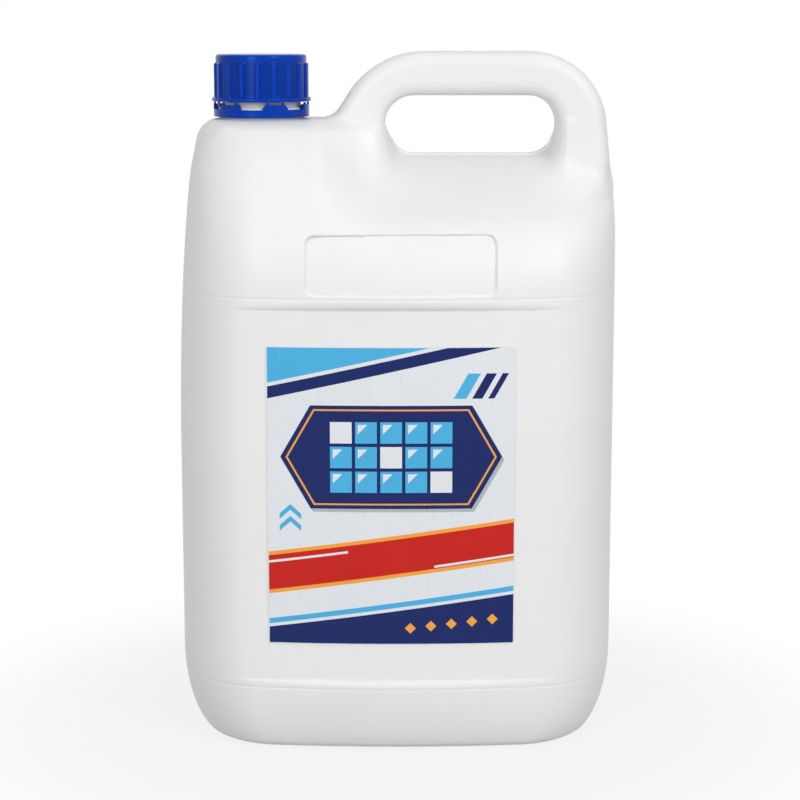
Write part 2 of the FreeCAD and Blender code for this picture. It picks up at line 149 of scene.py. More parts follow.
class CapSizes(bpy.types.PropertyGroup):
    skirt: length("Skirt radius", "Outside of the cap between its ribs", 19.45)
    bore: length("Bore radius", "Inside of the cap", 18.3)
    foot: length("Foot height", "Lower edge of the cap above the flat top", 7.5)
    top: length("Top height", "Top of the cap above the flat top", 27.3)
    plate: length("Top thickness", "Thickness of the cap's top", 1.6)
    flange: length("Flange radius", "Outside of the cap's lower flange", 21.25)
    flange_height: length("Flange height", "Height of the flange", 1.6)
    rib: length("Rib rise", "How far a rib stands out", 0.85)
    rib_width: length("Rib width", "Width of a rib", 1.75)
    rib_top_gap: length("Rib top gap", "Plain band above the ribs", 3.5)
    ribs: bpy.props.IntProperty(name="Ribs", description="Number of ribs", default=18, min=3)
    rib_phase: bpy.props.FloatProperty(name="Rib phase", description="Angle of the first rib",
                                       default=math.radians(-91.0), subtype="ANGLE")


class LabelSizes(bpy.types.PropertyGroup):
    width: length("Width", "Width of a label", 103.2)
    height: length("Height", "Height of a label", 126.5)
    bottom: length("Bottom", "Lower edge of a label", 48.5)
    centre: length("Centre", "Middle of a label along X", -2.2, -1.0)
    thickness: length("Film", "Thickness of a label", 0.2)
    gap: length("Glue", "Thickness of the glue", 0.05)
    ink: length("Ink", "Thickness of a printed field", 0.03)


class Finishes(bpy.types.PropertyGroup):
    shell: colour("Bottle", "Colour of the moulded body", (0.805, 0.805, 0.80))
    cap: colour("Cap", "Colour of the cap and band", (0.0, 0.034, 0.35))
    liner: colour("Liner", "Colour of the sealing disc", (0.78, 0.78, 0.74))
    film: colour("Label ground", "Ground colour of the labels", (0.74, 0.76, 0.79))
    navy: colour("Navy ink", "Darkest printed colour", (0.004, 0.016, 0.12))
    sky: colour("Sky ink", "Light blue printed colour", (0.07, 0.42, 0.72))
    red: colour("Red ink", "Red printed colour", (0.55, 0.012, 0.008))
    gold: colour("Gold ink", "Orange and gold printed colour", (0.87, 0.36, 0.05))
    silver: colour("Silver ink", "Grey printed colour", (0.42, 0.45, 0.48))


class StageSettings(bpy.types.PropertyGroup):
    lens: bpy.props.FloatProperty(name="Lens", description="Focal length of the camera",
                                  default=96.97, unit="CAMERA")
    distance: length("Distance", "Camera in front of the bottle", 935.0)
    camera_height: length("Camera height", "Camera above the floor", 307.0)
    camera_x: length("Camera side", "Camera beside the middle of the bottle", 1.46, -1.0)
    tilt: bpy.props.FloatProperty(name="Tilt", description="Downward tilt of the camera",
                                  default=math.radians(10.0), subtype="ANGLE")


GROUPS = {
    "bottle_sizes": BottleSizes,
    "neck_sizes": NeckSizes,
    "cap_sizes": CapSizes,
    "label_sizes": LabelSizes,
    "bottle_finishes": Finishes,
    "bottle_stage": StageSettings,
}


# Distance fields of the moulded body

def ease(value, start, end):
    """0 at start and before it, 1 at end and beyond it, and an even S between."""
    t = np.clip((value - start) / (end - start), 0.0, 1.0)
    return t * t * (3.0 - 2.0 * t)


def past(value, low, high):
    """How far a value lies outside two limits; negative between them."""
    return np.abs(value - 0.5 * (low + high)) - 0.5 * (high - low)


def mould_lines(sizes):
    """Heights of the two fine lines beside the label panels."""
    return sizes.panel_top + 4.7 * MM, sizes.panel_bottom - 4.0 * MM


def round_max(a, b, radius):
    """Where two forms meet in an outer edge, with that edge rounded."""
    outer = np.hypot(np.maximum(a + radius, 0.0), np.maximum(b + radius, 0.0))
    return outer + np.minimum(np.maximum(a, b) + radius, 0.0) - radius


def soft_min(a, b, reach):
    """Two forms joined, with the inner edge between them filled softly."""
    share = np.clip(0.5 + 0.5 * (b - a) / reach, 0.0, 1.0)
    return b + (a - b) * share - reach * share * (1.0 - share)


def soft_max(a, b, reach):
    """The larger of two values, with a rounded change-over."""
    return 0.5 * (a + b + np.sqrt((a - b) ** 2 + reach ** 2))


class Form:
    """The outside of the bottle as a distance: negative inside, positive outside."""

    FOOT_EDGE = 3.0 * MM      # radius between the sides and the floor
    TUCK_LOSS = 4.0 * MM      # how much smaller the corner radius is at the floor
    LEG_INSET = 6.0 * MM      # how much slimmer than the handle its outer leg's root is, each side
    LEG_SOFT = 9.0 * MM       # softness between that root and the ramps
    LEG_RISE = 30.0 * MM      # height over which that root comes in
    LEDGE_SOFT = 4.0 * MM     # softness of the start of the ledge beside the leg
    HEEL_SLOPE = 0.28         # angle by which the outer leg's foot runs into the body
    GAP_LIFT = 1.2 * MM       # how far the body is cut above the ridge
    GAP_GROW = 2.5 * MM       # how much wider than the hand gap the body is cut
    SIDE_BLEND = 2.6 * MM     # softness where the outer leg meets the body's side
    SEAM_WIDTH = 0.45 * MM    # half width of the parting line
    LINE_WIDTH = 0.4 * MM     # half width of the fine mould lines
    LINE_DEPTH = 0.13 * MM    # depth of those lines
    CUT_SOFT = 3.0 * MM       # softness where the hand gap cuts the body
    TRIM_SOFT = 1.0 * MM      # softness of the last trim round the gap
    PANEL_SOFT = 1.3 * MM     # softness of the label panels' ledges
    BASE_SOFT = 1.5 * MM      # softness of the hollow under the base

    def __init__(self, sizes, inset=0.0):
        self.s = sizes
        self.inset = inset

    def tuck(self, z):
        """1 at the floor and 0 from the tuck height up."""
        turn = 0.98
        u = turn * np.clip(1.0 - z / self.s.tuck_height, 0.0, 1.0)
        return (1.0 - np.sqrt(1.0 - u * u)) / (1.0 - math.sqrt(1.0 - turn ** 2))

    def ramp_depth(self, z):
        """Half depth under the hand gap."""
        s = self.s
        half = s.depth / 2.0
        slope = math.tan(s.ramp_angle)
        corner = s.ridge - slope * half
        reach = s.ramp_round * math.tan((math.pi / 2.0 - s.ramp_angle) / 2.0)
        start = corner - reach
        end = corner + reach * math.sin(s.ramp_angle)
        over = np.clip(z - start, 0.0, end - start)
        curved = half - s.ramp_round + np.sqrt(s.ramp_round ** 2 - over ** 2)
        return np.where(z < end, curved, (s.ridge - z) / slope)

    def block_depth(self, z):
        """Half depth on the neck side."""
        s = self.s
        half = s.depth / 2.0
        rise = s.shoulder - s.shoulder_start
        fall = half - s.shoulder_depth / 2.0
        radius = (rise ** 2 + fall ** 2) / (2.0 * fall)
        over = np.clip(z - s.shoulder_start, 0.0, 0.97 * radius)
        return half - radius + np.sqrt(radius ** 2 - over ** 2)

    def half_depth(self, x, z):
        """Half depth of the body before the bulge of its faces."""
        s = self.s
        ramp = self.ramp_depth(z)
        block = self.block_depth(z)
        leg = soft_max(ramp, s.handle_depth / 2.0 - self.LEG_INSET, self.LEG_SOFT)
        left = ease(x, s.scoop_left, s.scoop_left_end)
        right = ease(x, s.scoop_right, s.scoop_right_end)
        right = right * ease(z, s.shoulder_start, s.shoulder_start + self.LEG_RISE)
        return block + (ramp - block) * left + (leg - ramp) * right - s.tuck_front * self.tuck(z)

    def reach(self, x, z):
        """How far the body reaches to the side that x is on."""
        s = self.s
        over = np.clip(z - s.lean_start, 0.0, 0.9 * s.lean_radius)
        left = s.width / 2.0 - s.lean_radius + np.sqrt(s.lean_radius ** 2 - over ** 2)
        left = left - s.shoulder_tuck * ease(z, s.shoulder - 24.0 * MM, s.shoulder - 8.0 * MM)
        over = np.maximum(z - s.ledge_start + 0.5 * self.LEDGE_SOFT, 0.0)
        over = np.minimum(over * over / (over + self.LEDGE_SOFT), 0.97 * s.ledge_round)
        right = s.width / 2.0 + np.sqrt(s.ledge_round ** 2 - over ** 2) - s.ledge_round
        return np.where(x < 0.0, left, right) - s.tuck_side * self.tuck(z)

    def body(self, x, y, z):
        """Distance to the body without its handle."""
        s = self.s
        step = 0.2 * MM
        depth = self.half_depth(x, z)
        side = self.reach(x, z)
        slope_x = (self.half_depth(x + step, z) - depth) / step
        slope_z = (self.half_depth(x, z + step) - depth) / step
        share = np.clip(depth / (s.depth / 2.0), 0.0, 1.0) ** 2
        corner = s.corner - self.TUCK_LOSS * self.tuck(z)
        corner = np.minimum(corner, 0.82 * np.maximum(depth, 1.0 * MM))
        flat_y = np.hypot(y, 1.0 * MM)
        across = np.abs(x) + y * y / (2.0 * s.side_bulge) - side
        along = flat_y + share * x * x / (2.0 * s.front_bulge) - depth
        tilt = np.sqrt(1.0 + slope_x ** 2 + slope_z ** 2)
        weight = ease(along - across, -10.0 * MM, 10.0 * MM)
        distance = round_max(across, along, corner)
        distance = distance / (1.0 + (tilt - 1.0) * weight)
        end = ease(x, -72.0 * MM, -81.0 * MM)
        edge = s.shoulder_edge + (s.shoulder_end - s.shoulder_edge) * end
        distance = round_max(distance, z - s.shoulder, edge)
        return round_max(distance, -z, self.FOOT_EDGE)

    def outline(self, x, z, lines, arcs):
        """Distance to a shape inside several straight lines, with some corners rounded.

        A line is a point and its outward normal; an arc is a centre, a radius and the two
        normals that its corner lies between."""
        distance = None
        for px, pz, nx, nz in lines:
            d = (x - px) * nx + (z - pz) * nz
            distance = d if distance is None else np.maximum(distance, d)
        for cx, cz, radius, ax, az, bx, bz in arcs:
            u = x - cx
            v = z - cz
            inside = (ax * v - az * u <= 0.0) & (bx * v - bz * u >= 0.0)
            distance = np.where(inside, np.hypot(u, v) - radius, distance)
        return distance

    def corner_arc(self, line_a, line_b, radius):
        """The arc that rounds the corner of two lines, going clockwise from a to b."""
        ax, az, anx, anz = line_a
        bx, bz, bnx, bnz = line_b
        matrix = np.array([[anx, anz], [bnx, bnz]])
        target = np.array([anx * ax + anz * az - radius, bnx * bx + bnz * bz - radius])
        centre = np.linalg.solve(matrix, target)
        return (centre[0], centre[1], radius, anx, anz, bnx, bnz)

    def handle_plan(self, x, z):
        """Distance to the handle loop as seen from the front."""
        s = self.s
        low = s.ridge - 24.0 * MM
        angle = s.handle_angle
        left = (s.handle_root, s.shoulder, -math.sin(angle), math.cos(angle))
        top = (0.0, s.height - s.seam_height, 0.0, 1.0)
        lean = math.atan(s.handle_lean / (s.height - low))
        right = (s.handle_outer, low, math.cos(lean), math.sin(lean))
        floor = (0.0, low, 0.0, -1.0)
        heel = (s.handle_outer - 2.0 * MM, s.ledge_start + 10.0 * MM,
                math.cos(self.HEEL_SLOPE), -math.sin(self.HEEL_SLOPE))
        arcs = [self.corner_arc(left, top, s.handle_left_round),
                self.corner_arc(top, right, s.handle_right_round)]
        outside = self.outline(x, z, [left, top, right, heel, floor], arcs)
        return np.maximum(outside, -self.gap(x, z, s.ridge - 18.0 * MM, 0.0))

    def gap(self, x, z, low, grow):
        """Distance to the hand gap as seen from the front, with its foot at a height."""
        s = self.s
        high = s.ridge + s.gap_height + grow
        left = (s.gap_left - grow, high, -1.0, 0.0)
        right = (s.gap_right + grow, high, 1.0, 0.0)
        top = (0.0, high, 0.0, 1.0)
        floor = (0.0, low, 0.0, -1.0)
        lines = [left, top, right, floor]
        arcs = [self.corner_arc(a, b, s.gap_round + grow)
                for a, b in zip(lines, lines[1:] + lines[:1])]
        return self.outline(x, z, lines, arcs)

    def handle(self, x, y, z):
        """Distance to the handle loop."""
        s = self.s
        return round_max(self.handle_plan(x, z), np.abs(y) - s.handle_depth / 2.0, s.handle_edge)

    def panel(self, x, y, z):
        """Distance to what the label panels take away."""
        s = self.s
        centre = s.depth / 2.0 - s.panel_recess - s.panel_radius
        away = np.hypot(x, np.abs(y) - centre) - s.panel_radius
        tall = past(z, s.panel_bottom, s.panel_top)
        wall = (tall - s.panel_slope * away) / math.hypot(1.0, s.panel_slope)
        return np.maximum(-away, wall)

    def plate(self, x, z):
        """Distance to the plain plate's outline."""
        s = self.s
        return round_max(past(x, s.plate_left, s.plate_right),
                         past(z, s.plate_bottom, s.plate_top), s.plate_corner)

    def push_up(self, x, y, z):
        """Distance to the hollow under the base."""
        s = self.s
        side = s.width / 2.0 - s.tuck_side
        front = s.depth / 2.0 - s.tuck_front
        plan = round_max(np.abs(x) - side, np.abs(y) + x * x / (2.4 * s.front_bulge) - front,
                         s.corner - self.TUCK_LOSS)
        plan = plan + s.foot_width + 1.4 * z
        return round_max(plan * 0.6, z - s.push_up, 2.0 * MM)

    def blend_reach(self, x, y, z):
        """How softly the handle flows into the body at a place."""
        s = self.s
        low = ease(z, 272.0 * MM, 262.0 * MM)
        low = low * ease(x, -14.0 * MM, -6.0 * MM) * ease(x, 78.0 * MM, 72.0 * MM)
        root = ease(x, 2.0 * MM, -9.0 * MM) * ease(np.abs(y), 7.0 * MM, 15.0 * MM)
        root = root * ease(z, s.shoulder + 1.0 * MM, s.shoulder - 5.0 * MM)
        reach = s.handle_blend + (s.gap_blend - s.handle_blend) * low
        reach = reach + np.maximum(s.root_blend - reach, 0.0) * root
        return reach + (self.SIDE_BLEND - reach) * ease(x, 72.0 * MM, 82.0 * MM)

    def crown(self, x, y, z):
        """Height of the parting line, tallest where the mould pinches the hand gap off."""
        s = self.s
        pinch = ease(z, s.ridge + 13.0 * MM, s.ridge + 6.0 * MM)
        pinch = pinch * ease(z, s.ridge - 5.0 * MM, s.ridge - 2.0 * MM)
        pinch = pinch * ease(x, s.gap_left - 7.0 * MM, s.gap_left - 2.0 * MM)
        pinch = pinch * ease(x, s.gap_right + 6.0 * MM, s.gap_right + 1.0 * MM)
        tall = s.seam_height * ease(z, 0.0, 6.0 * MM) + s.pinch_height * pinch
        return tall * np.exp(-(y / self.SEAM_WIDTH) ** 2)

    def __call__(self, x, y, z):
        s = self.s
        foot = s.ridge + self.GAP_LIFT
        wide_gap = self.gap(x, z, foot, self.GAP_GROW)
        body = -soft_min(-self.body(x, y, z), wide_gap, self.CUT_SOFT)
        whole = soft_min(body, self.handle(x, y, z), self.blend_reach(x, y, z))
        whole = -soft_min(-whole, self.gap(x, z, foot, 0.0), self.TRIM_SOFT)
        whole = -soft_min(-whole, self.panel(x, y, z), self.PANEL_SOFT)
        whole = -soft_min(-whole, self.push_up(x, y, z), self.BASE_SOFT)
        if self.inset == 0.0:
            step = ease(self.plate(x, z), 0.195 * MM, -1.105 * MM)
            whole = whole + s.plate_recess * step * (y < 0.0) - self.crown(x, y, z)
            facing = self.LINE_DEPTH * ease(np.abs(y), 30.0 * MM, 40.0 * MM)
            for height in mould_lines(s):
                whole = whole + facing * np.exp(-((z - height) / self.LINE_WIDTH) ** 2)
        return whole + self.inset

    def slope(self, points):
        """Gradient of the distance at many points."""
        step = 0.12 * MM
        x, y, z = points.T
        return np.stack([
            self(x + step, y, z) - self(x - step, y, z),
            self(x, y + step, z) - self(x, y - step, z),
            self(x, y, z + step) - self(x, y, z - step)], axis=1) / (2.0 * step)


# Meshes

def spaced(low, high, step, marks=()):
    """Grid lines from low to high, with finer ones round each mark (place, reach, step)."""
    lines = [low]
    while lines[-1] < high:
        here = lines[-1]
        pace = step
        for place, reach, fine in marks:
            away = max(0.0, abs(here + 0.5 * fine - place) - reach)
            pace = min(pace, fine + 0.45 * away)
        lines.append(here + pace)
    return np.array(lines)


def surface_net(form, xs, ys, zs):
    """A closed mesh of quads where the form's distance is zero, on a grid of any spacing."""
    gx, gy, gz = np.meshgrid(xs, ys, zs, indexing="ij", sparse=True)
    value = form(gx, gy, gz)
    inside = value < 0.0
    shape = tuple(n - 1 for n in value.shape)
    total = np.zeros(shape + (3,))
    count = np.zeros(shape)
    axes = (xs, ys, zs)
    crossings = []
    for axis in range(3):
        first = [slice(None)] * 3
        second = [slice(None)] * 3
        first[axis] = slice(None, -1)
        second[axis] = slice(1, None)
        a = value[tuple(first)]
        b = value[tuple(second)]
        cross = (a < 0.0) != (b < 0.0)
        index = np.argwhere(cross)
        va = a[cross]
        vb = b[cross]
        share = va / (va - vb)
        place = np.stack([axes[k][index[:, k]] for k in range(3)], axis=1)
        line = axes[axis]
        place[:, axis] = line[index[:, axis]] * (1.0 - share) + line[index[:, axis] + 1] * share
        others = [k for k in range(3) if k != axis]
        for da in (0, 1):
            for db in (0, 1):
                cell = index.copy()
                cell[:, others[0]] -= da
                cell[:, others[1]] -= db
                fits = np.all((cell >= 0) & (cell < np.array(shape)), axis=1)
                spot = tuple(cell[fits].T)
                np.add.at(total, spot, place[fits])
                np.add.at(count, spot, 1.0)
        crossings.append((axis, index, inside[tuple(first)][cross]))
    used = count > 0
    number = -np.ones(shape, dtype=int)
    number[used] = np.arange(used.sum())
    points = total[used] / count[used][:, None]
    quads = []
    for axis, index, starts_inside in crossings:
        b, c = [(axis + 1) % 3, (axis + 2) % 3]
        corners = []
        for db, dc in ((-1, -1), (0, -1), (0, 0), (-1, 0)):
            cell = index.copy()
            cell[:, b] += db
            cell[:, c] += dc
            corners.append(number[tuple(cell.T)])
        quad = np.stack(corners, axis=1)
        quad[~starts_inside] = quad[~starts_inside][:, ::-1]
        quads.append(quad)
    return points, np.concatenate(quads)


def settle(form, points, rounds=5):
    """Moves points onto the form, and returns them with the form's normals."""
    least_slope = 0.09
    longest_step = 1.2 * MM
    for _ in range(rounds):
        slope = form.slope(points)
        size = np.maximum((slope ** 2).sum(axis=1), least_slope)
        move = -(form(*points.T) / size)[:, None] * slope
        far = np.linalg.norm(move, axis=1)
        move *= np.minimum(1.0, longest_step / np.maximum(far, 1e-9))[:, None]
        points = points + move
    slope = form.slope(points)
    return points, slope / np.maximum(np.linalg.norm(slope, axis=1), 1e-9)[:, None]


def mesh_object(name, points, faces, normals=None):
    """A mesh object with smooth faces, and given normals where there are any."""
    mesh = bpy.data.meshes.new(name)
    mesh.from_pydata([tuple(p) for p in points], [], [tuple(int(i) for i in f) for f in faces])
    mesh.validate()
    mesh.polygons.foreach_set("use_smooth", [True] * len(mesh.polygons))
    if normals is not None:
        mesh.normals_split_custom_set_from_vertices([tuple(n) for n in normals])
    mesh.update()
    piece = bpy.data.objects.new(name, mesh)
    bpy.context.scene.collection.objects.link(piece)
    return piece


SHARP = math.radians(50.0)


def turned(name, rows, centre, base, turns, shift, ends=False):
    """A section of (radius, height) rows turned about an upright axis.

    The section is a closed loop, or with ends it runs from the axis to the axis. shift takes an
    angle and a row's number and says how far that point moves out."""
    points = [(centre, 0.0, base + rows[i][1]) for i in (0, -1)] if ends else []
    first = len(points)
    ring = range(1, len(rows) - 1) if ends else range(len(rows))
    count = len(ring)
    faces = []
    for j in range(turns):
        angle = 2.0 * math.pi * j / turns
        for i in ring:
            out = rows[i][0] + shift(angle, i)
            points.append((centre + out * math.cos(angle), out * math.sin(angle),
                           base + rows[i][1]))
        a = first + j * count
        b = first + (j + 1) % turns * count
        if ends:
            faces += [(0, a, b), (a + count - 1, 1, b + count - 1)]
        for i in range(count - 1 if ends else count):
            h = (i + 1) % count
            faces.append((a + i, a + h, b + h, b + i))
    piece = mesh_object(name, points, faces)
    piece.data.set_sharp_from_angle(angle=SHARP)
    return piece


def arc(radius, height, edge, start, end, count):
    """Rows of a rounded edge about a centre, between two angles in degrees."""
    return [(radius + edge * math.cos(turn), height + edge * math.sin(turn))
            for turn in np.radians(np.linspace(start, end, count))]


# Pieces

NECK_HOLE = 16.2 * MM    # radius of the hole in the skin, hidden under the neck's foot
INSIDE_STEP = 1.9        # how much coarser the wall's inside is meshed


def cut_round(points, faces, centre, radius, low):
    """Opens a round hole in a flat top: faces inside it go, and its edge lies on the circle."""
    away = np.hypot(points[:, 0] - centre, points[:, 1])
    inside = (away < radius) & (points[:, 2] > low)
    faces = faces[~inside[faces].all(axis=1)]
    rim = np.unique(faces[inside[faces]])
    scale = radius / np.maximum(away[rim], 1e-6)
    points[rim, 0] = centre + (points[rim, 0] - centre) * scale
    points[rim, 1] *= scale
    used = np.unique(faces)
    number = np.zeros(len(points), dtype=int)
    number[used] = np.arange(len(used))
    return points[used], number[faces], used


def skin(name, form, sizes, axis, hole, inward, marks):
    """One side of the moulded wall as a mesh."""
    half_x = sizes.width / 2.0 + 1.5 * MM
    half_y = sizes.depth / 2.0 + 1.5 * MM
    step = sizes.grid * (INSIDE_STEP if inward else 1.0)
    xs = spaced(-half_x, half_x, step, marks[0])
    ys = spaced(-half_y, half_y, step, marks[1])
    zs = spaced(-1.5 * MM, sizes.height + 2.0 * MM, step, marks[2])
    points, faces = surface_net(form, xs, ys, zs)
    points, normals = settle(form, points)
    top = sizes.shoulder - 2.0 * sizes.wall
    points, faces, used = cut_round(points, faces, axis, hole, top)
    normals = normals[used]
    if inward:
        faces = faces[:, ::-1]
        normals = -normals
    return mesh_object(name, points, faces, normals)


def neck_profile(neck, wall):
    """The neck's section as a closed loop of radius and height above the flat top."""
    r = neck.radius
    b = neck.bore
    h = neck.height
    lip = 0.6 * MM
    loop = [(b, -wall), (b, 0.3 * h), (b, 0.7 * h), (b, h - lip)]
    loop += arc(b + lip, h - lip, lip, 157.5, 90.0, 4) + arc(r - lip, h - lip, lip, 90.0, 0.0, 5)
    rows = 52
    for step in range(1, rows):
        loop.append((r, h - lip - (h - lip - 6.0 * MM) * step / rows))
    loop += [(r, 5.4 * MM), (r + 0.25 * MM, 5.05 * MM), (r + 1.0 * MM, 4.9 * MM),
             (r + 1.35 * MM, 4.75 * MM), (r + 1.5 * MM, 4.4 * MM), (r + 1.5 * MM, 4.1 * MM),
             (r + 1.35 * MM, 3.75 * MM), (r + 1.0 * MM, 3.6 * MM), (r + 0.25 * MM, 3.45 * MM),
             (r, 3.1 * MM), (r, 1.6 * MM), (r + 0.25 * MM, 1.1 * MM), (r + 0.9 * MM, 0.9 * MM),
             (r + 1.2 * MM, 0.78 * MM), (r + 1.35 * MM, 0.5 * MM), (r + 1.45 * MM, 0.15 * MM),
             (r + 1.7 * MM, -0.15 * MM), (r - 0.6 * MM, -wall)]
    return loop


THREAD_CREST = 0.8 * MM
THREAD_ROOT = 1.7 * MM
THREAD_RUN_OUT = math.radians(20.0)


def thread_rise(neck, angle, height, start):
    """How much of the thread's depth stands at an angle and a height, from 0 to 1."""
    best = 0.0
    for lap in range(-1, int(neck.turns) + 2):
        along = angle / (2.0 * math.pi) + lap
        if along < 0.0 or along > neck.turns:
            continue
        away = abs(height - start - neck.pitch * along)
        ends = min(along, neck.turns - along) * 2.0 * math.pi / THREAD_RUN_OUT
        flank = (THREAD_ROOT - 2.0 * away) / (THREAD_ROOT - THREAD_CREST)
        best = max(best, min(1.0, max(0.0, flank)) * min(1.0, ends))
    return best


def cap_profile(cap):
    """The cap's section from the middle of its top, round its rim, to the middle of its inside."""
    r = cap.skirt
    edge = 1.2 * MM
    rows = [(0.0, cap.top), (0.8 * MM, cap.top - 0.12 * MM), (1.3 * MM, cap.top - 0.05 * MM),
            (2.0 * MM, cap.top - 0.02 * MM), (0.5 * r, cap.top), (r - edge, cap.top)]
    rows += arc(r - edge, cap.top - edge, edge, 75.0, 0.0, 6)
    high = cap.top - cap.rib_top_gap
    low = cap.foot + cap.flange_height
    rows += [(r, cap.top - 2.2 * MM)]
    rows += [(r, high + step * 0.2 * MM) for step in range(3, -6, -1)]
    rows += [(r, low + (high - low) * share) for share in (0.85, 0.6, 0.4, 0.2, 0.1)]
    rows += [(r, low + 0.75 * MM), (r, low + 0.45 * MM), (r + 0.1 * MM, low + 0.2 * MM),
             (r + 0.35 * MM, low + 0.03 * MM)]
    f = cap.flange
    edge = 0.35 * MM
    rows += arc(f - edge, low - edge, edge, 90.0, 0.0, 5)
    rows += arc(f - edge, cap.foot + edge, edge, 0.0, -90.0, 5)
    outer = len(rows)
    rows += [(cap.bore + 0.3 * MM, cap.foot), (cap.bore, cap.foot + 0.3 * MM)]
    ceiling = cap.top - cap.plate
    steps = 46
    rows += [(cap.bore, cap.foot + 0.3 * MM + (ceiling - cap.foot - 0.5 * MM) * step / steps)
             for step in range(1, steps + 1)]
    rows += [(cap.bore - 0.2 * MM, ceiling), (0.5 * cap.bore, ceiling), (0.0, ceiling)]
    return rows, outer


def cap_shift(cap, neck, rows, outer):
    """How far the cap's points move out for its ribs and in for its thread."""
    high = cap.top - cap.rib_top_gap
    low = cap.foot + cap.flange_height
    pitch_angle = 2.0 * math.pi / cap.ribs
    start = neck.thread_start + 0.5 * neck.pitch

    def shift(angle, i):
        radius, height = rows[i]
        if i < outer:
            if radius < cap.skirt - 0.01 * MM or height < low or radius > cap.skirt + 0.5 * MM:
                return 0.0
            turn = (angle - cap.rib_phase) / pitch_angle
            away = abs(turn - round(turn)) * pitch_angle * cap.skirt
            half = 0.5 * cap.rib_width
            side = float(ease(away, half + 0.2 * MM, half - 0.2 * MM))
            tip = float(ease(height, high + 0.2 * MM, high - 0.7 * MM))
            return cap.rib * side * tip - (radius - cap.skirt) * side * tip
        if radius < cap.bore - 0.01 * MM:
            return 0.0
        depth = cap.bore - neck.radius - 0.3 * MM
        return -depth * thread_rise(neck, angle, height, start)
    return shift


# Labels

def on_label(label, sizes, side, u, lift):
    """The place of a label's surface at u along X, a lift above the panel."""
    x = label.centre + u
    centre = sizes.depth / 2.0 - sizes.panel_recess - sizes.panel_radius
    radius = sizes.panel_radius + lift
    return x, side * (centre + math.sqrt(radius ** 2 - x * x))


def printed(name, shapes, level, context, side, paint):
    """Flat shapes of one colour printed on a label; a shape is a list of (u, v) in millimetres."""
    label = context.scene.label_sizes
    sizes = context.scene.bottle_sizes
    low = label.gap + label.thickness + (level - 1) * label.ink
    work = bmesh.new()
    for shape in shapes:
        corners = [work.verts.new((u * MM, 0.0, v * MM)) for u, v in shape]
        work.faces.new(corners)
    bmesh.ops.triangulate(work, faces=work.faces[:])
    reach = label.width / 2.0
    step = 3.0 * MM
    for index in range(1, int(2.0 * reach / step) + 1):
        geometry = work.verts[:] + work.edges[:] + work.faces[:]
        bmesh.ops.bisect_plane(work, geom=geometry, plane_co=(index * step - reach, 0.0, 0.0),
                               plane_no=(1.0, 0.0, 0.0), dist=1e-7)
    bmesh.ops.recalc_face_normals(work, faces=work.faces[:])
    for face in work.faces:
        if face.normal.y > 0.0:
            face.normal_flip()
    top = bmesh.ops.extrude_face_region(work, geom=work.faces[:])
    raised = {item for item in top["geom"] if isinstance(item, bmesh.types.BMVert)}
    middle = label.bottom + label.height / 2.0
    for vert in work.verts:
        lift = low + (label.ink if vert in raised else 0.0)
        x, y = on_label(label, sizes, side, -side * vert.co.x, lift)
        vert.co = (x, y, middle + vert.co.z)
    mesh = bpy.data.meshes.new(name)
    work.to_mesh(mesh)
    work.free()
    mesh.polygons.foreach_set("use_smooth", [True] * len(mesh.polygons))
    mesh.set_sharp_from_angle(angle=math.radians(30.0))
    mesh.materials.append(paint)
    piece = bpy.data.objects.new(name, mesh)
    bpy.context.scene.collection.objects.link(piece)
    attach(piece, "bottle")


def box_shape(u, v, width, height):
    """An upright rectangle about a middle."""
    return [(u - width / 2, v - height / 2), (u + width / 2, v - height / 2),
            (u + width / 2, v + height / 2), (u - width / 2, v + height / 2)]


def slanted(u, v, width, height, lean):
    """A leaning bar: its top stands lean further along than its foot."""
    return [(u, v), (u + width, v), (u + width + lean, v + height), (u + lean, v + height)]


EDGE = 51.2    # half width of what is printed on a label, in millimetres
RIM = 62.8     # half its height


def streak(v, end_v, thick, u=-EDGE, end_u=EDGE):
    """A sloping stripe between two places along a label, right across it unless they are given."""
    return [(u, v), (end_u, end_v), (end_u, end_v + thick), (u, v + thick)]


def hexagon(u, v, width, height, cut):
    """A wide plaque with pointed ends."""
    half = width / 2
    rise = height / 2
    return [(u - half, v), (u - half + cut, v - rise), (u + half - cut, v - rise), (u + half, v),
            (u + half - cut, v + rise), (u - half + cut, v + rise)]


def diamond(u, v, size):
    """A square on its point."""
    return [(u - size, v), (u, v - size), (u + size, v), (u, v + size)]


def chevron(u, v, width, height, thick):
    """An arrow head that points up."""
    half = width / 2
    return [(u - half, v), (u, v + height), (u + half, v), (u + half, v + thick),
            (u, v + height + thick), (u - half, v + thick)]


